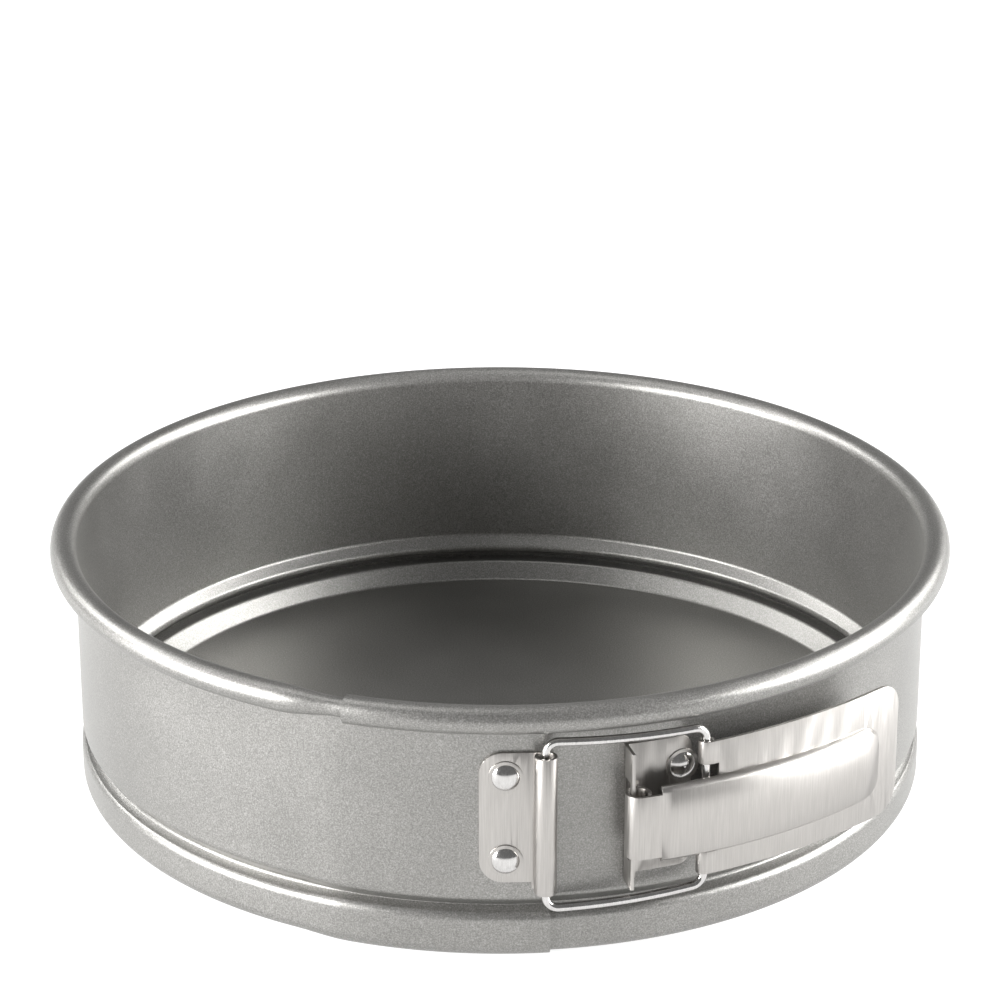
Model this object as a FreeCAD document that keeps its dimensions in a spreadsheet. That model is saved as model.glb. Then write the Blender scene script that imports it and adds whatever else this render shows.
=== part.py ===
"""Springform pan, 23 cm: an elastic side band, a lift-out base plate and a lever latch.

Millimetres. +Z is up, the foot of the band stands on z = 0 and the pan's axis is Z.
The latch is at the front (-Y). Angles round the pan are measured from the front and
grow towards +X, so a place on the pan is given as a radius and an angle.
"""
import FreeCAD, Part
import math
import os
import re
from FreeCAD import Placement, Rotation, Vector

os.makedirs("parts", exist_ok=True)
doc = FreeCAD.newDocument("springform_pan")

# ---------------------------------------------------------------- driving dimensions
SIZES = [
    # side band
    ("wall_inner_radius", 114.4, "inside of the wall"),
    ("band_sheet", 0.6, "thickness of the band"),
    ("lap_gap", 0.1, "clearance between the two layers of the lap"),
    ("pan_height", 70.0, "foot to top of the rim"),
    ("rim_curl_radius", 3.57, "outside of the rolled rim"),
    ("rim_curl_turn", 305.0, "degrees the rim is rolled through"),
    ("bulge_inner_radius", 114.8, "inside of the foot bulge"),
    ("lip_radius", 110.8, "inner edge of the flat foot lip"),
    ("foot_bend", 2.8, "inside bend between the bulge and the foot lip"),
    ("bulge_top", 9.6, "height of the top of the bulge's upright part"),
    ("shoulder_bend", 1.6, "bend over the bulge"),
    ("shoulder_turn", 60.0, "degrees the bulge leans in"),
    ("nose_radius", 111.6, "innermost reach of the bead"),
    ("nose_bend", 1.5, "inside bend of the bead's nose"),
    ("crease_bend", 1.6, "bend between the bead and the wall"),
    ("crease_turn", 45.0, "degrees between the bead's upper leg and the wall"),
    ("lap_inner_end", -18.5, "angle of the inner layer's end"),
    ("lap_outer_end", 6.2, "angle of the outer layer's end"),
    ("neck_start", -27.0, "angle at which the outer layer starts to step out"),
    ("neck_span", 7.5, "degrees taken by the step"),
    ("neck_tuck", 0.47, "extra tightening of the outer layer's rim, so that it nests"),
    # base plate
    ("plate_sheet", 0.8, "thickness of the base plate"),
    ("floor_height", 5.0, "top of the floor"),
    ("floor_radius", 106.6, "edge of the flat floor"),
    ("flange_height", 9.9, "top of the flange"),
    ("flange_inner_radius", 109.9, "inner edge of the flange"),
    ("plate_radius", 114.4, "outer edge of the flange"),
    # latch, common
    ("latch_sheet", 0.8, "thickness of the latch parts"),
    ("latch_foot", 21.3, "underside of the latch plates"),
    ("latch_top", 56.7, "top of the latch plates"),
    ("corner", 6.0, "corner radius of the plates"),
    ("rivet_shank", 1.6, "rivet shank radius"),
    ("rivet_head", 3.5, "rivet head radius"),
    ("rivet_dome", 1.35, "rivet head height"),
    ("boss_radius", 4.3, "radius of the raised ring round a rivet"),
    ("boss_height", 0.4, "height of the raised ring"),
    # hinge plate
    ("hinge_left", -2.6, "angle of the plate's left edge"),
    ("hinge_rivet_angle", 0.67, "angle of the two rivets"),
    ("hinge_rivet_low", 27.4, "height of the lower rivet"),
    ("hinge_rivet_high", 50.2, "height of the upper rivet"),
    ("barrel_angle", 5.4, "angle of the barrel's axis"),
    ("barrel_outer", 2.8, "outside radius of the barrel"),
    ("barrel_foot", 19.5, "underside of the barrel"),
    ("barrel_turn", 310.0, "degrees the barrel is rolled through"),
    ("barrel_relief", 0.4, "width of plate kept beside the barrel below the plate's foot"),
    # wire bail
    ("wire_radius", 1.075, "radius of the wire"),
    ("bail_bend", 3.2, "centreline bend at the corners"),
    ("bail_top", 60.5, "height of the top run"),
    ("bail_low_left", 14.9, "height of the bottom run at the barrel"),
    ("bail_low_right", 17.4, "height of the bottom run at the lever"),
    ("bail_gap", 0.3, "gap between the wire's two ends"),
    ("bail_bow", 0.3, "reach of the runs' middle beyond the mean radius of their ends"),
    # lever
    ("knuckle_angle", 24.7, "angle of the lever's knuckles"),
    ("knuckle_radius", 120.5, "radius of the knuckles' axis from the pan's axis"),
    ("knuckle_bore", 1.15, "bore radius of the knuckles"),
    ("lever_flare", 160.0, "bend radius of the lever plate"),
    ("lever_run", 62.0, "length of the lever plate from the knuckles"),
    ("lever_foot", 20.8, "underside of the lever plate"),
    ("lever_top", 57.0, "top of the lever plate"),
    ("lever_corner", 7.0, "corner radius of the free end"),
    ("lever_facing", 40.0, "angle the lever plate's outline is drawn facing"),
    ("curl_turn", 300.0, "degrees the knuckles and the hook are rolled through"),
    ("ear_height", 6.0, "height of a knuckle"),
    ("plate_start", 2.7, "length of an ear before the plate starts"),
    ("hook_angle", 16.1, "angle of the hook's axis"),
    ("hook_radius", 121.5, "radius of the hook's axis from the pan's axis"),
    ("hook_bore", 2.4, "bore radius of the hook"),
    ("tongue_foot", 29.2, "underside of the tongue"),
    ("tongue_height", 17.0, "height of the tongue"),
    ("panel_bend", 137.0, "bend radius of the raised panel"),
    ("panel_start", 5.2, "length of tongue before its side flanges"),
    ("panel_end", 73.5, "length of the raised panel from the hook"),
    ("panel_side", 1.5, "height of the panel's slope each side"),
    ("panel_chamfer", 1.0, "width of the panel's sloped edge"),
    ("panel_root", -13.0, "where the panel's inner side starts along the lever plate"),
    ("panel_toe", 54.0, "where the panel's inner side ends along the lever plate"),
    # lever bracket
    ("bracket_right", 24.0, "angle of the plate's right edge"),
    ("bracket_rivet_angle", 22.7, "angle of the two rivets"),
    ("bracket_rivet_low", 27.2, "height of the lower rivet"),
    ("bracket_rivet_high", 48.9, "height of the upper rivet"),
    ("bar_angle", 15.47, "angle of the upright bar"),
    ("bar_radius", 121.13, "radius of the bar's middle from the pan's axis"),
    ("bar_width", 1.6, "width of the bar"),
    ("bracket_bend", 1.2, "outside bend between the bracket's plate and its flange"),
    ("bracket_corner", 3.0, "corner radius of the bracket's plate"),
    ("window_inset", 0.6, "flange left between its plate and the window"),
    ("flange_foot", 19.6, "underside of the upright flange"),
    ("window_margin", 2.2, "gap above and below the tongue in the flange's window"),
]
sheet = doc.addObject("Spreadsheet::Sheet", "Sizes")
for row, (alias, value, note) in enumerate(SIZES, start=1):
    sheet.set(f"A{row}", note)
    sheet.set(f"B{row}", str(value))
    sheet.setAlias(f"B{row}", alias)
doc.recompute()


def size(alias):
    return float(sheet.get(alias))


ALIAS = re.compile(r"\b(" + "|".join(alias for alias, _, _ in SIZES) + r")\b")


def names(expression):
    """The expression with the sheet's aliases written as Sizes.alias."""
    return ALIAS.sub(r"Sizes.\1", expression)


def sin(degrees):
    return math.sin(math.radians(degrees))


def cos(degrees):
    return math.cos(math.radians(degrees))


# ---------------------------------------------------------------- outlines
def around(radius, angle):
    """The plan point at a radius and an angle from the front."""
    return radius * sin(angle), -radius * cos(angle)


def run(length):
    return "run", length, 0.0


def turn(radius, degrees):
    """A bend; a positive angle turns left."""
    return "turn", radius, degrees


def trace(start, heading, moves, left=0.0):
    """The line drawn by the moves, shifted sideways by left: (first, middle, last) points."""
    x, y = start
    pieces = []
    for kind, amount, degrees in moves:
        if kind == "run":
            stations = [(x + amount * f * cos(heading), y + amount * f * sin(heading), heading)
                        for f in (0.0, 0.5, 1.0)]
        else:
            side = math.copysign(1.0, degrees)
            cx, cy = x - side * amount * sin(heading), y + side * amount * cos(heading)
            stations = []
            for f in (0.0, 0.5, 1.0):
                now = heading + degrees * f
                stations.append((cx + side * amount * sin(now), cy - side * amount * cos(now), now))
        pieces.append((kind, [(px - left * sin(a), py + left * cos(a)) for px, py, a in stations]))
        x, y, heading = stations[-1]
    return pieces


def edges(pieces):
    """Sketch geometry for traced pieces."""
    drawn = []
    for kind, points in pieces:
        first, middle, last = (Vector(px, py, 0) for px, py in points)
        straight = kind == "run" or abs((middle - first).cross(last - first).z) < 1e-7
        drawn.append(Part.LineSegment(first, last) if straight else Part.Arc(first, middle, last))
    return drawn


def line(first, last):
    return Part.LineSegment(Vector(*first, 0), Vector(*last, 0))


def polygon(points):
    return [line(a, b) for a, b in zip(points, points[1:] + points[:1])]


def strip(start, heading, moves, near, far):
    """Closed outline of bent sheet: the traced line shifted to near and to far, ends closed."""
    a, b = trace(start, heading, moves, near), trace(start, heading, moves, far)
    ends = [line(a[i][1][j], b[i][1][j]) for i, j in ((0, 0), (-1, -1))]
    return edges(a) + edges(b) + ends


def closed(start, heading, moves, corners):
    """A traced line closed through further corner points."""
    drawn = trace(start, heading, moves)
    points = [drawn[-1][1][-1], *corners, start]
    return edges(drawn) + [line(p, q) for p, q in zip(points, points[1:])]


# ---------------------------------------------------------------- bodies
def new_body(name):
    body = doc.addObject("PartDesign::Body", name)
    body.Label = name
    return body


def plane(body, role):
    return next(f for f in body.Origin.OriginFeatures if f.Role == role)


def sketch(body, role, geometry, turned=None, lifted=None):
    """A sketch on an origin plane; turned rotates it about Z and lifted raises it.

    Both are expressions in the sheet's names.
    """
    made = body.newObject("Sketcher::SketchObject")
    made.AttachmentSupport = [(plane(body, role), "")]
    made.MapMode = "FlatFace"
    if turned is not None:
        made.AttachmentOffset = Placement(Vector(), Rotation(Vector(0, 1, 0), 1.0))
        made.setExpression("AttachmentOffset.Rotation.Angle", f"({turned}) * 1 deg")
    if lifted is not None:
        made.setExpression("AttachmentOffset.Base.z", f"({lifted}) * 1 mm")
    made.addGeometry(geometry, False)
    doc.recompute()
    return made


def feature(body, kind, profile, **values):
    """A feature on a sketch; text values are expressions in the sheet's names."""
    made = body.newObject(kind)
    made.Profile = profile
    for name, value in values.items():
        if isinstance(value, str):
            made.setExpression(name, value)
        else:
            setattr(made, name, value)
    doc.recompute()
    return made


def pad(body, geometry, foot, height):
    """Sheet seen in plan, raised between two heights."""
    drawn = sketch(body, "XY_Plane", geometry, lifted=names(foot))
    return feature(body, "PartDesign::Pad", drawn, Length=names(f"({height}) * 1 mm"))


def revolve(body, geometry, turned, degrees):
    """A radial section swept round the pan from the angle turned."""
    drawn = sketch(body, "XZ_Plane", geometry, turned=names(f"{turned} - 90"))
    return feature(body, "PartDesign::Revolution", drawn, ReferenceAxis=(drawn, ["V_Axis"]),
                   Angle=names(f"({degrees}) * 1 deg"))


TRIM_REACH = 80.0       # half width of the frame cut away, beyond every latch part
TRIM_DEPTH = 150.0      # from the pan's axis to outside the latch


def trim_front(body, geometry, turned):
    """Cut away what lies outside an outline drawn facing the pan at the angle turned."""
    frame = polygon([(-TRIM_REACH, -TRIM_REACH), (TRIM_REACH, -TRIM_REACH),
                     (TRIM_REACH, 2 * TRIM_REACH), (-TRIM_REACH, 2 * TRIM_REACH)])
    drawn = sketch(body, "XZ_Plane", frame + geometry, turned=names(turned))
    return feature(body, "PartDesign::Pocket", drawn, Length=TRIM_DEPTH, Reversed=True)


def cylinder(body, kind, angle, height, near, length, radius):
    """A radial cylinder at an angle and a height, starting at the radius near."""
    made = body.newObject(kind)
    made.setExpression("Radius", names(f"({radius}) * 1 mm"))
    made.setExpression("Height", names(f"({length}) * 1 mm"))
    out = Vector(*around(1.0, size(angle)), 0)
    made.Placement = Placement(out * near + Vector(0, 0, size(height)), Rotation(Vector(0, 0, 1), out))
    doc.recompute()
    return made


# ---------------------------------------------------------------- side band
lap_shift = size("band_sheet") + size("lap_gap")


def band_section(shift):
    """Radial section of the band, every surface moved outwards by shift.

    The foot's bend of a shifted layer ends a degree short of where it would reach below
    the foot of the pan.
    """
    bulge, wall, nose = size("bulge_inner_radius"), size("wall_inner_radius"), size("nose_radius")
    foot, shoulder = size("foot_bend"), size("shoulder_bend")
    tip, crease = size("nose_bend"), size("crease_bend")
    lean_in, lean_out = size("shoulder_turn"), size("crease_turn")
    foot_centre = size("band_sheet") + foot
    reach = foot_centre / (foot_centre + shift)
    foot_turn = 90.0 if shift == 0 else math.degrees(math.asin(reach)) - 1.0
    leg_in = (bulge - nose - (shoulder + tip) * (1 - cos(lean_in))) / sin(lean_in)
    leg_out = (wall - nose - (crease + tip) * (1 - cos(lean_out))) / sin(lean_out)
    crease_top = (size("bulge_top") + shoulder * sin(lean_in) + leg_in * cos(lean_in)
                  + tip * (sin(lean_in) + sin(lean_out)) + leg_out * cos(lean_out)
                  + crease * sin(lean_out))
    curl_centre = size("pan_height") - size("rim_curl_radius")
    moves = [
        turn(foot, foot_turn),
        run(size("bulge_top") - foot_centre),
        turn(shoulder, lean_in),
        run(leg_in),
        turn(tip, -(lean_in + lean_out)),
        run(leg_out),
        turn(crease, lean_out),
        run(curl_centre - crease_top),
        turn(size("rim_curl_radius") - size("neck_tuck") * shift / lap_shift, -size("rim_curl_turn")),
    ]
    start = (bulge - foot + foot * cos(foot_turn), foot_centre - foot * sin(foot_turn))
    return strip(start, 90.0 - foot_turn, moves, -shift, -shift - size("band_sheet"))


band = new_body("band")
plain_span = "360 - lap_inner_end + neck_start"
lip_outer = size("bulge_inner_radius") - size("foot_bend")
lip_inner, lip_top = size("lip_radius"), size("band_sheet")
revolve(band, band_section(0.0), "lap_inner_end", plain_span)
revolve(band, polygon([(lip_inner, 0.0), (lip_outer, 0.0), (lip_outer, lip_top), (lip_inner, lip_top)]),
        "lap_inner_end", plain_span)
neck = []
NECK_STEPS = 3
for step in range(NECK_STEPS + 1):
    part_way = step / NECK_STEPS
    ease = part_way * part_way * (3 - 2 * part_way)
    neck.append(sketch(band, "XZ_Plane", band_section(lap_shift * ease),
                       turned=names(f"neck_start + neck_span * {step} / {NECK_STEPS} - 90")))
feature(band, "PartDesign::AdditiveLoft", neck[0], Sections=neck[1:])
revolve(band, band_section(lap_shift), "neck_start + neck_span",
        "lap_outer_end - neck_start - neck_span")
for angle, low, high, near, hole in (
    ("hinge_rivet_angle", "hinge_rivet_low", "hinge_rivet_high",
     size("wall_inner_radius") + lap_shift - 0.05, "rivet_shank"),
    ("bracket_rivet_angle", "bracket_rivet_low", "bracket_rivet_high",
     size("wall_inner_radius") - 1, "rivet_shank + lap_gap"),
):
    for height in (low, high):
        cylinder(band, "PartDesign::SubtractiveCylinder", angle, height, near, "2", hole)

# ---------------------------------------------------------------- base plate
skin = size("plate_sheet")
bevel = math.degrees(math.atan2(size("flange_height") - size("floor_height"),
                                size("flange_inner_radius") - size("floor_radius")))
under_shift = skin * math.tan(math.radians(bevel / 2))     # of the underside's corners
base_plate = new_body("base_plate")
base_outline = [
    (0.0, size("floor_height") - skin),
    (size("floor_radius") + under_shift, size("floor_height") - skin),
    (size("flange_inner_radius") + under_shift, size("flange_height") - skin),
    (size("plate_radius"), size("flange_height") - skin),
    (size("plate_radius"), size("flange_height")),
    (size("flange_inner_radius"), size("flange_height")),
    (size("floor_radius"), size("floor_height")),
    (0.0, size("floor_height")),
]
revolve(base_plate, polygon(base_outline), "90", "360")

# ---------------------------------------------------------------- hinge plate
fold = size("latch_sheet")
hinge_inner = size("wall_inner_radius") + lap_shift + size("band_sheet")
hinge_plate = new_body("hinge_plate")
hinge_moves = [
    turn(hinge_inner, size("barrel_angle") - size("hinge_left")),
    turn(size("barrel_outer"), -size("barrel_turn")),
]
hinge_start = around(hinge_inner, size("hinge_left"))
pad(hinge_plate, strip(hinge_start, size("hinge_left"), hinge_moves, 0.0, -fold),
    "barrel_foot", "latch_top - barrel_foot")
barrel_side = size("barrel_outer") + size("barrel_relief")
past_barrel = 10.0
face_left = hinge_inner * sin(size("hinge_left") - size("barrel_angle"))
corner, foot, top = size("corner"), size("latch_foot"), size("latch_top")
trim_front(hinge_plate, closed((past_barrel, top), 180.0, [
    run(past_barrel - face_left - corner), turn(corner, 90.0), run(top - foot - 2 * corner),
    turn(corner, 90.0), run(-barrel_side - face_left - corner),
], [(-barrel_side, size("barrel_foot") - 1), (past_barrel, size("barrel_foot") - 1)]), "barrel_angle")


def rivet_seats(body, angle, heights, inner):
    """The raised ring and the hole for each rivet of a plate."""
    for height in heights:
        cylinder(body, "PartDesign::AdditiveCylinder", angle, height, inner + fold / 2,
                 "latch_sheet / 2 + boss_height", "boss_radius")
        cylinder(body, "PartDesign::SubtractiveCylinder", angle, height, inner - 1, "4",
                 "rivet_shank")


rivet_seats(hinge_plate, "hinge_rivet_angle", ("hinge_rivet_low", "hinge_rivet_high"), hinge_inner)


# ---------------------------------------------------------------- rivets
def rivet(name, angle, height, near, seat):
    """A rivet from its flush tail at the radius near to a domed head seated at the radius seat."""
    shank, head, dome = size("rivet_shank"), size("rivet_head"), size("rivet_dome")
    ball = (head * head + dome * dome) / (2 * dome)
    half = math.degrees(math.asin(head / ball)) / 2
    crown = Part.Arc(Vector(seat, head, 0),
                     Vector(seat + dome - ball + ball * cos(half), ball * sin(half), 0),
                     Vector(seat + dome, 0, 0))
    outline = [line((near, 0.0), (near, shank)), line((near, shank), (seat, shank)),
               line((seat, shank), (seat, head)), crown, line((seat + dome, 0.0), (near, 0.0))]
    body = new_body(name)
    drawn = sketch(body, "XY_Plane", outline)
    feature(body, "PartDesign::Revolution", drawn, ReferenceAxis=(drawn, ["H_Axis"]), Angle=360.0)
    body.Placement = Placement(Vector(), Rotation(Vector(0, 0, 1), size(angle) - 90))
    body.setExpression("Placement.Base.z", names(f"{height} * 1 mm"))
    doc.recompute()


bracket_inner = size("wall_inner_radius") + size("band_sheet")
head_seat = fold + size("boss_height")
for where, height in (("lower", "low"), ("upper", "high")):
    rivet(f"hinge_rivet_{where}", "hinge_rivet_angle", f"hinge_rivet_{height}",
          hinge_inner - size("band_sheet"), hinge_inner + head_seat)
    rivet(f"bracket_rivet_{where}", "bracket_rivet_angle", f"bracket_rivet_{height}",
          size("wall_inner_radius") + size("lap_gap"), bracket_inner + head_seat)

# ---------------------------------------------------------------- lever bracket
bar_face = size("bar_radius") + size("bar_width") / 2
bracket_bend = size("bracket_bend")
flange_angle = size("bar_angle") + math.degrees((bracket_bend - fold / 2) / size("bar_radius"))
lever_bracket = new_body("lever_bracket")
pad(lever_bracket, strip(around(bracket_inner, size("bracket_right")), size("bracket_right") + 180.0, [
    turn(bracket_inner, flange_angle - size("bracket_right")),
    turn(bracket_bend, 90.0),
    run(bar_face - bracket_inner - bracket_bend),
], 0.0, fold), "flange_foot", "latch_top - flange_foot")
plate_right = bracket_inner * sin(size("bracket_right") - flange_angle)
bracket_corner = size("bracket_corner")
plate_left, past_flange = 2.0, 5.0      # either side of the flange, seen along it
trim_front(lever_bracket, closed((plate_left, foot), 0.0, [
    run(plate_right - plate_left - bracket_corner), turn(bracket_corner, 90.0),
    run(top - foot - 2 * bracket_corner), turn(bracket_corner, 90.0),
    run(plate_right - bracket_corner + past_flange),
], [(-past_flange, size("flange_foot") - 1), (plate_left, size("flange_foot") - 1)]),
    repr(flange_angle))
rivet_seats(lever_bracket, "bracket_rivet_angle", ("bracket_rivet_low", "bracket_rivet_high"),
            bracket_inner)
window_low = size("tongue_foot") - size("window_margin")
window_high = size("tongue_foot") + size("tongue_height") + size("window_margin")
window_inner = bracket_inner + fold + size("window_inset")
window_outer = bar_face - size("bar_width")
window = sketch(lever_bracket, "XZ_Plane", polygon([
    (window_inner, window_low), (window_outer, window_low),
    (window_outer, window_high), (window_inner, window_high),
]), turned=repr(flange_angle - 90.0))
feature(lever_bracket, "PartDesign::Pocket", window, Midplane=True,
        Length=names("10 * latch_sheet * 1 mm"))


# ---------------------------------------------------------------- lever
def arc_degrees(length, radius):
    return math.degrees(length / radius)


def end_of(start, heading, moves):
    """The point and heading reached by the moves."""
    for move in moves:
        start, heading = trace(start, heading, [move])[0][1][-1], heading + move[2]
    return start, heading


def curl_start(centre, radius, heading, degrees):
    """Where a left bend about centre must start to end on the given heading."""
    first = heading - degrees
    return (centre[0] + radius * sin(first), centre[1] - radius * cos(first)), first


flare, panel_bend = size("lever_flare"), size("panel_bend")
knuckle_outer, hook_outer = size("knuckle_bore") + fold, size("hook_bore") + fold
knuckle_top = around(size("knuckle_radius") + knuckle_outer, size("knuckle_angle"))
hook_top = around(size("hook_radius") + hook_outer, size("hook_angle"))
panel_first, panel_last = size("panel_start"), size("panel_end")


def plate_point(distance):
    """Point and heading on the outside of the lever plate, measured from the knuckles."""
    way = math.copysign(1.0, distance)
    point, heading = end_of(knuckle_top, size("knuckle_angle") + (180.0 if way < 0 else 0.0),
                            [turn(flare, way * arc_degrees(abs(distance), flare))])
    return point, heading - (180.0 if way < 0 else 0.0)


def panel_point(distance):
    """Point and heading on the outside of the raised panel, measured from the hook."""
    return end_of(hook_top, size("hook_angle"), [turn(panel_bend, arc_degrees(distance, panel_bend))])


def between(inner_first, inner_last, inner_shift, outer_first, outer_last, outer_shift):
    """Plan outline between the lever plate's line and the panel's line."""
    inner_start, inner_heading = plate_point(inner_first)
    outer_start, outer_heading = panel_point(outer_first)
    inner = trace(inner_start, inner_heading,
                  [turn(flare, arc_degrees(inner_last - inner_first, flare))], inner_shift)
    outer = trace(outer_start, outer_heading,
                  [turn(panel_bend, arc_degrees(outer_last - outer_first, panel_bend))], outer_shift)
    return edges(inner) + edges(outer) + [
        line(inner[0][1][0], outer[0][1][0]), line(inner[0][1][-1], outer[0][1][-1])]


lever = new_body("lever")
panel_root, panel_toe = size("panel_root"), size("panel_toe")
panel = pad(lever, between(panel_root, panel_toe, 0.0, panel_first, panel_last, 0.0),
            "tongue_foot - panel_side", "tongue_height + 2 * panel_side")
(end_x, end_y), _ = panel_point(panel_last)
# the upright-facing corners at the panel's far end: its short level edges
end_edges = [f"Edge{i}" for i, e in enumerate(panel.Shape.Edges, start=1)
             if e.Length < 5 and abs(e.Vertexes[0].Z - e.Vertexes[1].Z) < 1e-6
             and math.hypot(e.CenterOfMass.x - end_x, e.CenterOfMass.y - end_y) < 3]
panel_corner = size("corner")
rounded = lever.newObject("PartDesign::Fillet")
rounded.Base = (panel, end_edges)
rounded.Radius = panel_corner
doc.recompute()
bend_centre = Vector(*end_of(hook_top, size("hook_angle") + 90.0, [run(panel_bend)])[0], 0)
start_point = Vector(*panel_point(panel_first)[0], 0)


def on_panel_face(edge):
    flat = [Vector(p.x, p.y, 0) for p in edge.discretize(5)]
    outside = all(abs((p - bend_centre).Length - panel_bend) < 1e-3 for p in flat)
    return outside and (flat[0] - start_point).Length + (flat[-1] - start_point).Length > 0.1


sloped = lever.newObject("PartDesign::Chamfer")
sloped.Base = (rounded, [f"Edge{i}" for i, e in enumerate(rounded.Shape.Edges, start=1)
                         if on_panel_face(e)])
sloped.setExpression("Size", names("panel_chamfer * 1 mm"))
doc.recompute()

plate_start, plate_heading = plate_point(size("plate_start"))
pad(lever, strip(plate_start, plate_heading, [
    turn(flare, arc_degrees(size("lever_run") - size("plate_start"), flare)),
], 0.0, fold), "lever_foot", "lever_top - lever_foot")
facing = size("lever_facing")
free_end, _ = plate_point(size("lever_run"))
face_right = free_end[0] * cos(facing) + free_end[1] * sin(facing)
lever_corner = size("lever_corner")
lever_height = size("lever_top") - size("lever_foot")
past_knuckles = 60.0
trim_front(lever, closed((0.0, size("lever_foot")), 0.0, [
    run(face_right - lever_corner), turn(lever_corner, 90.0),
    run(lever_height - 2 * lever_corner), turn(lever_corner, 90.0),
    run(face_right - lever_corner + past_knuckles),
], [(-past_knuckles, size("lever_foot"))]), "lever_facing")
overshoot, plate_cut = 1.0, 0.1     # how far the hollow runs out of the panel's open sides
hollow = sketch(lever, "XY_Plane",
                between(panel_root - overshoot, panel_toe - panel_corner, fold + plate_cut,
                        panel_first - overshoot, panel_last - panel_corner, fold),
                lifted=names("tongue_foot - panel_side + latch_sheet"))
feature(lever, "PartDesign::Pocket", hollow, Reversed=True,
        Length=names("(tongue_height + 2 * panel_side - 2 * latch_sheet) * 1 mm"))
curl_turn = size("curl_turn")
ear_overlap, tongue_overlap = 2.0, 3.0      # length shared with the plate and with the panel
ear_start, ear_heading = curl_start(around(size("knuckle_radius"), size("knuckle_angle")),
                                    knuckle_outer, size("knuckle_angle"), curl_turn)
ear = strip(ear_start, ear_heading, [
    turn(knuckle_outer, curl_turn), turn(flare, arc_degrees(size("plate_start") + ear_overlap, flare)),
], 0.0, fold)
pad(lever, ear, "lever_foot", "ear_height")
pad(lever, ear, "lever_top - ear_height", "ear_height")
tongue_start, tongue_heading = curl_start(around(size("hook_radius"), size("hook_angle")),
                                          hook_outer, size("hook_angle"), curl_turn)
pad(lever, strip(tongue_start, tongue_heading, [
    turn(hook_outer, curl_turn), turn(panel_bend, arc_degrees(panel_first + tongue_overlap, panel_bend)),
], 0.0, fold), "tongue_foot", "tongue_height")

# ---------------------------------------------------------------- wire bail
barrel_radius = hinge_inner + size("barrel_outer")
left_leg = Vector(*around(barrel_radius, size("barrel_angle")), 0)
right_leg = Vector(*around(size("knuckle_radius"), size("knuckle_angle")), 0)
bow = Vector(*around((barrel_radius + size("knuckle_radius")) / 2 + size("bail_bow"),
                     (size("barrel_angle") + size("knuckle_angle")) / 2), 0)
upright = Vector(0, 0, 1)


def bend_from(leg, height, along, away):
    """The corner between an upright leg and a run leaving it along a direction.

    away is the direction of the leg from the corner: +1 up, -1 down.
    """
    reach = size("bail_bend") * math.tan((math.pi - along.getAngle(upright * away)) / 2)
    corner_point = leg + upright * height
    on_leg, on_run = corner_point + upright * away * reach, corner_point + along * reach
    inward = (upright * away + along).normalize()
    half = along.getAngle(upright * away) / 2
    centre = corner_point + inward * (size("bail_bend") / math.sin(half))
    return on_leg, centre - inward * size("bail_bend"), on_run


SETTLING_ROUNDS = 6


def bail_run(low_left, low_right, away):
    """Left corner, bowed run and right corner as three arcs, each given by three points.

    The corners and the run's end directions depend on each other, so they settle in turn.
    """
    middle_point = bow + upright * (low_left + low_right) / 2
    from_left = (right_leg - left_leg).normalize()
    from_right = from_left * -1
    for _ in range(SETTLING_ROUNDS):
        left_bend = bend_from(left_leg, low_left, from_left, away)
        right_bend = bend_from(right_leg, low_right, from_right, away)
        arc = Part.Arc(left_bend[2], middle_point, right_bend[2])
        from_left = Vector(*arc.tangent(arc.FirstParameter)[0]).normalize()
        from_right = Vector(*arc.tangent(arc.LastParameter)[0]).normalize() * -1
    return left_bend, (left_bend[2], middle_point, right_bend[2]), right_bend[::-1]


def arc_edges(triples):
    return [Part.Arc(*points).toShape() for points in triples]


below = bail_run(size("bail_low_left"), size("bail_low_right"), 1.0)
above = [points[::-1] for points in reversed(bail_run(size("bail_top"), size("bail_top"), -1.0))]
middle = (size("bail_low_left") + size("bail_top")) / 2
wire_starts = left_leg + upright * (middle - size("bail_gap") / 2)
wire_ends = left_leg + upright * (middle + size("bail_gap") / 2)
spine = Part.Wire([
    Part.makeLine(wire_starts, below[0][0]), *arc_edges(below),
    Part.makeLine(below[-1][-1], above[0][0]), *arc_edges(above),
    Part.makeLine(above[-1][-1], wire_ends),
])
section = Part.Wire([Part.makeCircle(size("wire_radius"), wire_starts, upright)])
wire_bail = doc.addObject("Part::Feature", "wire_bail")
wire_bail.Label = "wire_bail"
wire_bail.Shape = spine.makePipeShell([section], True, False)

# ---------------------------------------------------------------- checks and export
doc.recompute()
NODES = ("band", "base_plate", "hinge_plate", "hinge_rivet_upper", "hinge_rivet_lower", "wire_bail",
         "lever", "lever_bracket", "bracket_rivet_upper", "bracket_rivet_lower")
for thing in doc.Objects:
    bad = [state for state in thing.State if state in ("Invalid", "Error")]
    if bad:
        raise RuntimeError(f"{thing.Label}: {bad}")
for name in NODES:
    (node,) = doc.getObjectsByLabel(name)
    shape = node.Shape
    if not shape.isValid() or len(shape.Solids) != 1 or shape.Volume <= 0:
        raise RuntimeError(f"{name}: valid {shape.isValid()}, solids {len(shape.Solids)}")
    box = shape.optimalBoundingBox()
    print(f"{name:20s} volume {shape.Volume:9.1f}  x {box.XMin:8.2f} {box.XMax:8.2f}"
          f"  y {box.YMin:8.2f} {box.YMax:8.2f}  z {box.ZMin:7.2f} {box.ZMax:7.2f}")
    shape.exportStep(f"parts/{name}.step")
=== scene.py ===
"""Springform pan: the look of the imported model, in metres, in the model's own frame."""
import math

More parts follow.
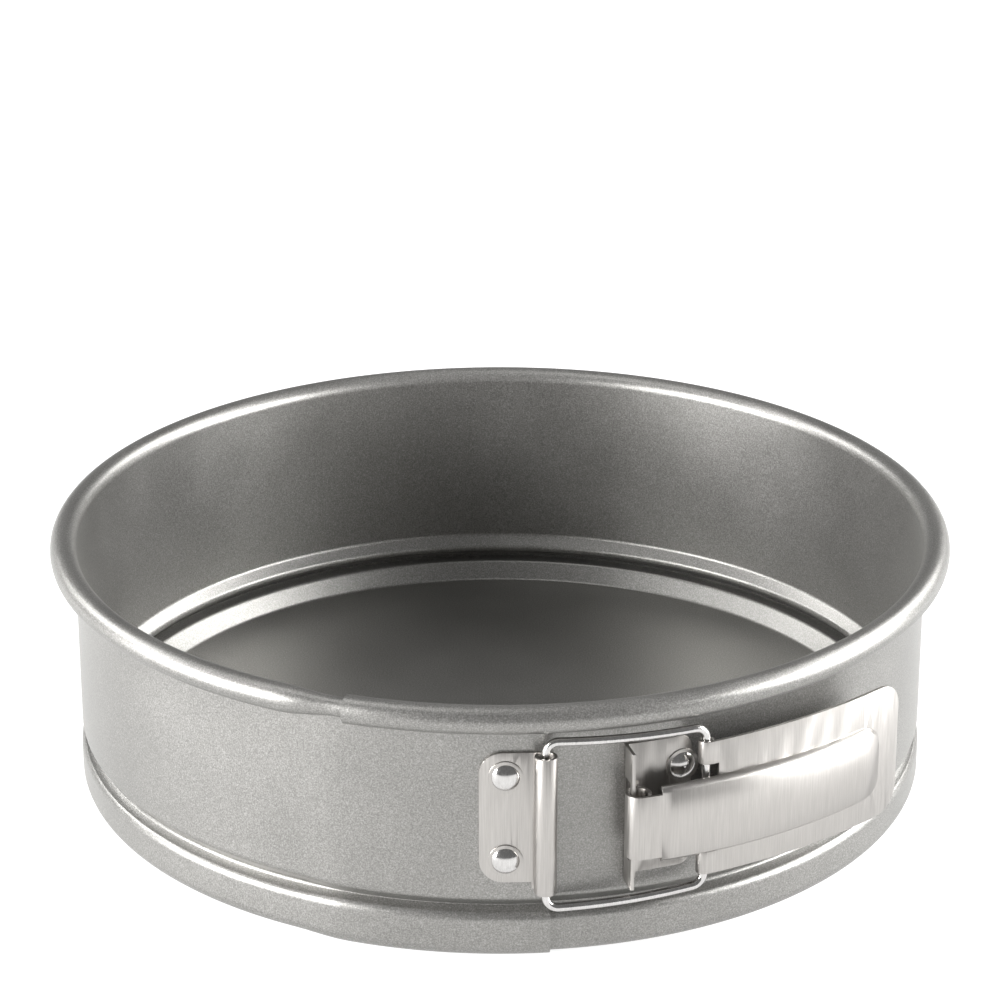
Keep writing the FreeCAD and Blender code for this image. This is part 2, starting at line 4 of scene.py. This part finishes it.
import bmesh
import bpy
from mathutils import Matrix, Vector


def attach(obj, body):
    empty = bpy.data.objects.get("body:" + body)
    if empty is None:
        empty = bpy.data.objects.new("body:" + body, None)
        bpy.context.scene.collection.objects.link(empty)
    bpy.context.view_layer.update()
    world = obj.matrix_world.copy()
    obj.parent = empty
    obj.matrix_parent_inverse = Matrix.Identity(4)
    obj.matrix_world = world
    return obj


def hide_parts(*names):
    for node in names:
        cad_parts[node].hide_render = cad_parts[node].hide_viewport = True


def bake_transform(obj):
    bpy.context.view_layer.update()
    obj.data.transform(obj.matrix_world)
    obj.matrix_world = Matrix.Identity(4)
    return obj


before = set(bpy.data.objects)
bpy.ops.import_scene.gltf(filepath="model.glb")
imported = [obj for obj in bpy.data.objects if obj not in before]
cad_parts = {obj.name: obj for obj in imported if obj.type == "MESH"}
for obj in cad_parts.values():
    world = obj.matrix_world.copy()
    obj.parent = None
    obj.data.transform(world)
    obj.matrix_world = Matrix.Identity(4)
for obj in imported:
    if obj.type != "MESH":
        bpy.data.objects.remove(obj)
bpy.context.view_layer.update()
MM = 0.001


def sin(degrees):
    return math.sin(math.radians(degrees))


def cos(degrees):
    return math.cos(math.radians(degrees))


def around(radius, angle):
    """Plan point at a radius and an angle from the front (-Y), growing towards +X."""
    return radius * sin(angle), -radius * cos(angle)


# ---------------------------------------------------------------- camera
CAMERA_DISTANCE = 0.97835
CAMERA_ELEVATION = 26.409
CAMERA_PITCH = 22.334          # degrees below the horizon
CAMERA_LENS = 125.85
CAMERA_SENSOR = 36.0
camera_data = bpy.data.cameras.new("camera")
camera_data.sensor_width = CAMERA_SENSOR
camera_data.lens = CAMERA_LENS
camera_data.clip_start, camera_data.clip_end = 0.01, 50.0
camera = bpy.data.objects.new("camera", camera_data)
camera.location = (0.0, -CAMERA_DISTANCE * cos(CAMERA_ELEVATION),
                   CAMERA_DISTANCE * sin(CAMERA_ELEVATION))
camera.rotation_euler = (math.radians(90.0 - CAMERA_PITCH), 0.0, 0.0)
bpy.context.scene.collection.objects.link(camera)
bpy.context.scene.camera = camera


# ---------------------------------------------------------------- materials
class Nodes:
    """A material's node tree with short calls for the nodes used here."""

    def __init__(self, name):
        self.material = bpy.data.materials.new(name)
        self.material.use_nodes = True
        self.tree = self.material.node_tree
        self.shader = self.tree.nodes["Principled BSDF"]
        self.place = self.tree.nodes.new("ShaderNodeTexCoord").outputs["Object"]

    def link(self, a, b):
        self.tree.links.new(a, b)

    def noise(self, stretch, detail=3.0, roughness=0.55):
        """Noise with stretch cells to the metre along X, Y and Z."""
        mapping = self.tree.nodes.new("ShaderNodeMapping")
        mapping.inputs["Scale"].default_value = stretch
        self.link(self.place, mapping.inputs["Vector"])
        made = self.tree.nodes.new("ShaderNodeTexNoise")
        made.inputs["Scale"].default_value = 1.0
        made.inputs["Detail"].default_value = detail
        made.inputs["Roughness"].default_value = roughness
        self.link(mapping.outputs["Vector"], made.inputs["Vector"])
        return made.outputs["Fac"]

    def spread(self, value, low, high, from_low=0.3, from_high=0.7):
        made = self.tree.nodes.new("ShaderNodeMapRange")
        for name, number in (("From Min", from_low), ("From Max", from_high),
                             ("To Min", low), ("To Max", high)):
            made.inputs[name].default_value = number
        self.link(value, made.inputs["Value"])
        return made.outputs["Result"]

    def add(self, a, b):
        made = self.tree.nodes.new("ShaderNodeMath")
        made.operation = "ADD"
        self.link(a, made.inputs[0])
        self.link(b, made.inputs[1])
        return made.outputs[0]

    def ramp(self, value, *stops):
        made = self.tree.nodes.new("ShaderNodeValToRGB")
        ramp = made.color_ramp
        while len(ramp.elements) < len(stops):
            ramp.elements.new(0.5)
        for element, (place, colour) in zip(ramp.elements, stops):
            element.position, element.color = place, (*colour, 1.0)
        self.link(value, made.inputs["Fac"])
        return made.outputs["Color"]

    def bump(self, value, height, under=None):
        made = self.tree.nodes.new("ShaderNodeBump")
        made.inputs["Strength"].default_value = 1.0
        made.inputs["Distance"].default_value = height
        self.link(value, made.inputs["Height"])
        if under is not None:
            self.link(under, made.inputs["Normal"])
        return made.outputs["Normal"]


def coated_steel():
    """Silver-grey non-stick coat: a fine metallic fleck over a soft sheen."""
    m = Nodes("coated_steel")
    fleck = m.noise((2600.0, 2600.0, 2600.0), detail=2.0, roughness=0.7)
    cloud = m.noise((28.0, 28.0, 28.0), detail=3.0)
    colour = m.ramp(m.add(m.spread(fleck, -0.24, 0.24), m.spread(cloud, 0.46, 0.54)),
                    (0.0, (0.10, 0.099, 0.094)), (0.5, (0.245, 0.241, 0.230)),
                    (1.0, (0.48, 0.472, 0.455)))
    m.link(colour, m.shader.inputs["Base Color"])
    m.shader.inputs["Metallic"].default_value = 0.85
    m.link(m.add(m.spread(fleck, -0.06, 0.06), m.spread(cloud, 0.37, 0.43)),
           m.shader.inputs["Roughness"])
    m.link(m.bump(fleck, 0.00004), m.shader.inputs["Normal"])
    return m.material


def brushed_stainless():
    """Stainless sheet brushed upright, with faint handling marks."""
    m = Nodes("brushed_stainless")
    brushing = m.noise((5200.0, 5200.0, 110.0), detail=3.0, roughness=0.6)
    marks = m.noise((90.0, 90.0, 40.0), detail=4.0)
    colour = m.ramp(m.add(m.spread(brushing, -0.17, 0.17), m.spread(marks, 0.45, 0.55)),
                    (0.0, (0.29, 0.278, 0.264)), (0.5, (0.415, 0.399, 0.381)),
                    (1.0, (0.555, 0.537, 0.515)))
    m.link(colour, m.shader.inputs["Base Color"])
    m.shader.inputs["Metallic"].default_value = 1.0
    m.link(m.add(m.spread(brushing, -0.04, 0.04), m.spread(marks, 0.32, 0.37)),
           m.shader.inputs["Roughness"])
    m.link(m.bump(brushing, 0.000008), m.shader.inputs["Normal"])
    return m.material


def polished_stainless():
    """Drawn and polished wire and rivet heads: fine draw lines, slight dulling."""
    m = Nodes("polished_stainless")
    lines = m.noise((2500.0, 2500.0, 250.0), detail=2.0)
    dull = m.noise((220.0, 220.0, 220.0), detail=4.0)
    colour = m.ramp(m.add(m.spread(lines, -0.2, 0.2), m.spread(dull, 0.4, 0.6)),
                    (0.0, (0.42, 0.41, 0.40)), (1.0, (0.66, 0.65, 0.64)))
    m.link(colour, m.shader.inputs["Base Color"])
    m.shader.inputs["Metallic"].default_value = 1.0
    m.link(m.add(m.spread(lines, -0.03, 0.03), m.spread(dull, 0.13, 0.22)),
           m.shader.inputs["Roughness"])
    m.link(m.bump(lines, 0.000006), m.shader.inputs["Normal"])
    return m.material


COAT, BRUSHED, POLISHED = coated_steel(), brushed_stainless(), polished_stainless()


# ---------------------------------------------------------------- mesh helpers
def run(length):
    return "run", length, 0.0


def turn(radius, degrees):
    return "turn", radius, degrees


def path(start, heading, moves, left, fineness):
    """Points along a bent line shifted sideways by left, a bend sampled every fineness degrees."""
    x, y = start
    points = []
    for kind, amount, degrees in moves:
        if kind == "run":
            here = [(x, y), (x + amount * cos(heading), y + amount * sin(heading))]
            points += [(px - left * sin(heading), py + left * cos(heading)) for px, py in here]
            x, y = here[-1]
            continue
        side = math.copysign(1.0, degrees)
        cx, cy = x - side * amount * sin(heading), y + side * amount * cos(heading)
        steps = max(2, math.ceil(abs(degrees) / fineness))
        for i in range(steps + 1):
            now = heading + degrees * i / steps
            reach = side * amount
            points.append((cx + (reach - left) * sin(now), cy - (reach - left) * cos(now)))
        x, y = cx + side * amount * sin(heading + degrees), cy - side * amount * cos(heading + degrees)
        heading += degrees
    kept = points[:1]
    for point in points[1:]:
        if math.dist(point, kept[-1]) > 1e-6:
            kept.append(point)
    return kept


SMOOTH_ANGLE = 40.0


def piece(name, vertices, faces, material, body, slot):
    """A mesh piece, given in millimetres; a piece without a body is placed by its caller."""
    mesh = bpy.data.meshes.new(name)
    mesh.from_pydata([Vector(v) * MM for v in vertices], [], faces)
    mesh.materials.append(material)
    made = bpy.data.objects.new(name, mesh)
    bpy.context.scene.collection.objects.link(made)
    work = bmesh.new()
    work.from_mesh(mesh)
    bmesh.ops.recalc_face_normals(work, faces=work.faces)
    work.to_mesh(mesh)
    work.free()
    mesh.shade_smooth()
    mesh.set_sharp_from_angle(angle=math.radians(SMOOTH_ANGLE))
    if body:
        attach(made, body)
    return made


def swept(sections, closed_round):
    """Vertices and faces of closed loops joined one after the next, capped unless closed."""
    count = len(sections[0])
    vertices = [v for section in sections for v in section]
    faces = []
    last = len(sections) if closed_round else len(sections) - 1
    for i in range(last):
        a, b = i * count, ((i + 1) % len(sections)) * count
        for j in range(count):
            k = (j + 1) % count
            faces.append((a + j, a + k, b + k, b + j))
    if not closed_round:
        faces.append(tuple(range(count)))
        faces.append(tuple(range((len(sections) - 1) * count, len(sections) * count))[::-1])
    return vertices, faces


# ---------------------------------------------------------------- side band
WALL_INNER, SHEET, LAP_GAP, HEIGHT = 114.4, 0.6, 0.1, 70.0
CURL, CURL_TURN = 3.57, 305.0
BULGE_INNER, FOOT_BEND, BULGE_TOP = 114.8, 2.8, 9.6
SHOULDER, SHOULDER_TURN = 1.6, 60.0
NOSE_RADIUS, NOSE = 111.6, 1.5
CREASE, CREASE_TURN = 1.6, 45.0
LIP = 1.2                                           # flat foot lip, inwards from its bend
LIP_LEFT = 0.05                                     # what stays of it on the outer layer
LAP_INNER_END, LAP_OUTER_END = -18.5, 6.2
NECK_START, NECK_SPAN, NECK_TUCK = -27.0, 7.5, 0.47
LAP_SHIFT = SHEET + LAP_GAP


def leg(rise, bends, degrees):
    """Straight length between two bends that together step sideways by rise."""
    return (rise - bends * (1 - cos(degrees))) / sin(degrees)


LIP_FADE = 30.0             # the lip is gone once the layer has moved out by 1 / LIP_FADE mm
FOOT_EASE = 3.0             # degrees the foot's bend ends early, for each mm moved out, up to 1


def band_section(shift):
    """Closed radial outline (radius, height) of the band moved outwards by shift."""
    foot_centre = SHEET + FOOT_BEND
    reach = foot_centre / (foot_centre + shift)
    foot_turn = math.degrees(math.asin(reach)) - min(1.0, shift * FOOT_EASE)
    lip = max(LIP * max(0.0, 1.0 - shift * LIP_FADE), LIP_LEFT)
    leg_in = leg(BULGE_INNER - NOSE_RADIUS, SHOULDER + NOSE, SHOULDER_TURN)
    leg_out = leg(WALL_INNER - NOSE_RADIUS, CREASE + NOSE, CREASE_TURN)
    crease_top = (BULGE_TOP + SHOULDER * sin(SHOULDER_TURN) + leg_in * cos(SHOULDER_TURN)
                  + NOSE * (sin(SHOULDER_TURN) + sin(CREASE_TURN)) + leg_out * cos(CREASE_TURN)
                  + CREASE * sin(CREASE_TURN))
    moves = [
        run(lip), turn(FOOT_BEND, foot_turn), run(BULGE_TOP - foot_centre),
        turn(SHOULDER, SHOULDER_TURN), run(leg_in), turn(NOSE, -(SHOULDER_TURN + CREASE_TURN)),
        run(leg_out), turn(CREASE, CREASE_TURN), run(HEIGHT - CURL - crease_top),
        turn(CURL - NECK_TUCK * shift / LAP_SHIFT, -CURL_TURN),
    ]
    heading = 90.0 - foot_turn
    start = (BULGE_INNER - FOOT_BEND + FOOT_BEND * cos(foot_turn) - lip * cos(heading),
             foot_centre - FOOT_BEND * sin(foot_turn) - lip * sin(heading))
    inner = sampled(start, heading, moves, -shift)
    outer = sampled(start, heading, moves, -shift - SHEET)
    return [(r, max(z, 0.0)) for r, z in inner + outer[::-1]]


BAND_STEPS = (1, 10, 1, 8, 1, 12, 1, 6, 1, 40)      # points per move of the band's section


def sampled(start, heading, moves, left):
    """As path, with a count of points that does not depend on the angles of the bends."""
    points = []
    x, y = start
    for (kind, amount, degrees), steps in zip(moves, BAND_STEPS):
        if kind == "run":
            points.append((x - left * sin(heading), y + left * cos(heading)))
            x, y = x + amount * cos(heading), y + amount * sin(heading)
            continue
        side = math.copysign(1.0, degrees)
        cx, cy = x - side * amount * sin(heading), y + side * amount * cos(heading)
        reach = side * amount - left
        for i in range(steps + 1):
            now = heading + degrees * i / steps
            points.append((cx + reach * sin(now), cy - reach * cos(now)))
        heading += degrees
        x, y = cx + side * amount * sin(heading), cy - side * amount * cos(heading)
    return points


def band_station(angle):
    """The band's section as 3-D points; past the neck it is the outer layer."""
    part_way = min(1.0, max(0.0, (angle - 360.0 - NECK_START) / NECK_SPAN))
    shift = LAP_SHIFT * part_way * part_way * (3 - 2 * part_way)
    return [(*around(r, angle), z) for r, z in band_section(shift)]


def angles(first, last, step):
    count = max(1, round((last - first) / step))
    return [first + (last - first) * i / count for i in range(count + 1)]


def band_half(first, last):
    """Vertices and faces of the band between two angles."""
    return swept([band_station(a) for a in angles(first, last, BAND_STEP)], False)


BAND_STEP = 1.25            # degrees
BACK = 180.0
right_band = piece("band_right", *band_half(LAP_INNER_END, BACK), COAT, None, "coated_steel")
left_band = piece("band_left", *band_half(BACK, 360.0 + LAP_OUTER_END), COAT, "root", "coated_steel")
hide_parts("band")
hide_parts("band")
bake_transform(right_band)

# ---------------------------------------------------------------- base plate
PLATE, FLOOR, FLOOR_RADIUS = 0.8, 5.0, 106.6
FLANGE, FLANGE_INNER, PLATE_RADIUS = 9.9, 109.9, 114.4
BASE_BEND, BASE_FINENESS, BASE_STEP = 1.2, 8.0, 1.5
RINGS = [FLOOR_RADIUS * f for f in (0.2, 0.4, 0.6, 0.8, 0.93)]
CENTRE = 0.02               # radius of the closed hole that the rings leave at the middle
rise, reach = FLANGE - FLOOR, FLANGE_INNER - FLOOR_RADIUS
bevel = math.degrees(math.atan2(rise, reach))
tangent = BASE_BEND * math.tan(math.radians(bevel / 2))
slope = math.hypot(rise, reach)
top_moves = [run(FLOOR_RADIUS - tangent), turn(BASE_BEND, bevel), run(slope - 2 * tangent),
             turn(BASE_BEND, -bevel), run(PLATE_RADIUS - FLANGE_INNER - tangent)]
top = path((0.0, FLOOR), 0.0, top_moves, 0.0, BASE_FINENESS)
under = path((0.0, FLOOR), 0.0, top_moves, -PLATE, BASE_FINENESS)
inward = [*reversed(RINGS), CENTRE]
profile = ([(r, FLOOR) for r in reversed(inward)] + top[1:]
           + under[:0:-1] + [(r, FLOOR - PLATE) for r in inward])
stations = [[(*around(r, a), z) for r, z in profile] for a in angles(0.0, 360.0, BASE_STEP)[:-1]]
base = piece("base_pressing", *swept(stations, True), COAT, "base", "coated_steel")
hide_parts("base_plate")


# ---------------------------------------------------------------- latch
BREAK_SEGMENTS, BREAK_ANGLE, FLAT_ANGLE, WELD = 2, 50.0, 0.5, 1e-6


def softened(node, body, material, width):
    """A replacement for a part: the CAD shape with its edges broken and evenly shaded."""
    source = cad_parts[node]
    mesh = source.data.copy()
    mesh.materials.clear()
    mesh.materials.append(material)
    made = bpy.data.objects.new(f"{node}_finished", mesh)
    bpy.context.scene.collection.objects.link(made)
    work = bmesh.new()
    work.from_mesh(mesh)
    bmesh.ops.remove_doubles(work, verts=work.verts, dist=WELD)
    bmesh.ops.dissolve_limit(work, angle_limit=math.radians(FLAT_ANGLE),
                             verts=work.verts, edges=work.edges)
    work.to_mesh(mesh)
    work.free()
    mesh.polygons.foreach_set("material_index", [0] * len(mesh.polygons))
    mesh.shade_smooth()
    bevel_edges = made.modifiers.new("broken_edges", "BEVEL")
    bevel_edges.width, bevel_edges.segments = width * MM, BREAK_SEGMENTS
    bevel_edges.limit_method, bevel_edges.angle_limit = "ANGLE", math.radians(BREAK_ANGLE)
    bevel_edges.harden_normals = True
    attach(made, body)
    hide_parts(node)
    return made


SHEET_BREAK, ROUND_BREAK = 0.12, 0.1
for part, body in (("hinge_plate", "root"), ("lever", "lever"), ("lever_bracket", "free_end")):
    softened(part, body, BRUSHED, SHEET_BREAK)
for rivet, body in (("hinge_rivet_upper", "root"), ("hinge_rivet_lower", "root"),
                    ("bracket_rivet_upper", "free_end"), ("bracket_rivet_lower", "free_end")):
    softened(rivet, body, POLISHED, ROUND_BREAK)
softened("wire_bail", "bail", POLISHED, ROUND_BREAK)


# ---------------------------------------------------------------- studio
def emitter(name, size, place, aim, power):
    """A white rectangular light at a place, turned to face aim."""
    data = bpy.data.lights.new(name, "AREA")
    data.shape, data.size, data.size_y = "RECTANGLE", size[0], size[1]
    data.energy = power
    made = bpy.data.objects.new(name, data)
    made.location = place
    made.rotation_euler = (Vector(aim) - Vector(place)).to_track_quat("-Z", "Y").to_euler()
    bpy.context.scene.collection.objects.link(made)


WHITE = (1.0, 1.0, 1.0, 1.0)
SPAN, DROP = 6.0, -0.0004       # metres: half width of the floor, and its height
floor_mesh = bpy.data.meshes.new("floor")
floor_mesh.from_pydata([(-SPAN, -SPAN, DROP), (SPAN, -SPAN, DROP), (SPAN, SPAN, DROP), (-SPAN, SPAN, DROP)],
                       [], [(0, 1, 2, 3)])
floor = bpy.data.objects.new("floor", floor_mesh)
paper = bpy.data.materials.new("paper")
paper.use_nodes = True
paper_shader = paper.node_tree.nodes["Principled BSDF"]
paper_shader.inputs["Base Color"].default_value = (0.25, 0.25, 0.25, 1.0)
paper_shader.inputs["Roughness"].default_value = 0.9
paper_shader.inputs["Emission Color"].default_value = WHITE
paper_shader.inputs["Emission Strength"].default_value = 0.9
floor_mesh.materials.append(paper)
bpy.context.scene.collection.objects.link(floor)

world = bpy.data.worlds.new("studio")
world.use_nodes = True
world.node_tree.nodes["Background"].inputs["Color"].default_value = WHITE
world.node_tree.nodes["Background"].inputs["Strength"].default_value = 0.22
bpy.context.scene.world = world
bpy.context.scene.view_settings.view_transform = "Standard"
emitter("left_softbox", (0.6, 0.5), (-1.0, -0.45, 0.30), (0.0, 0.0, 0.03), 30.0)
emitter("right_softbox", (0.5, 0.5), (1.0, -0.15, 0.35), (0.0, 0.0, 0.03), 20.0)
emitter("left_strip", (0.9, 0.6), (-1.3, 0.55, 0.85), (0.0, 0.0, 0.05), 15.0)
emitter("right_strip", (0.9, 0.6), (1.2, 0.65, 0.90), (0.0, 0.0, 0.05), 22.0)
emitter("top_softbox", (0.8, 0.8), (-0.5, 0.1, 1.5), (0.0, 0.0, 0.0), 4.0)
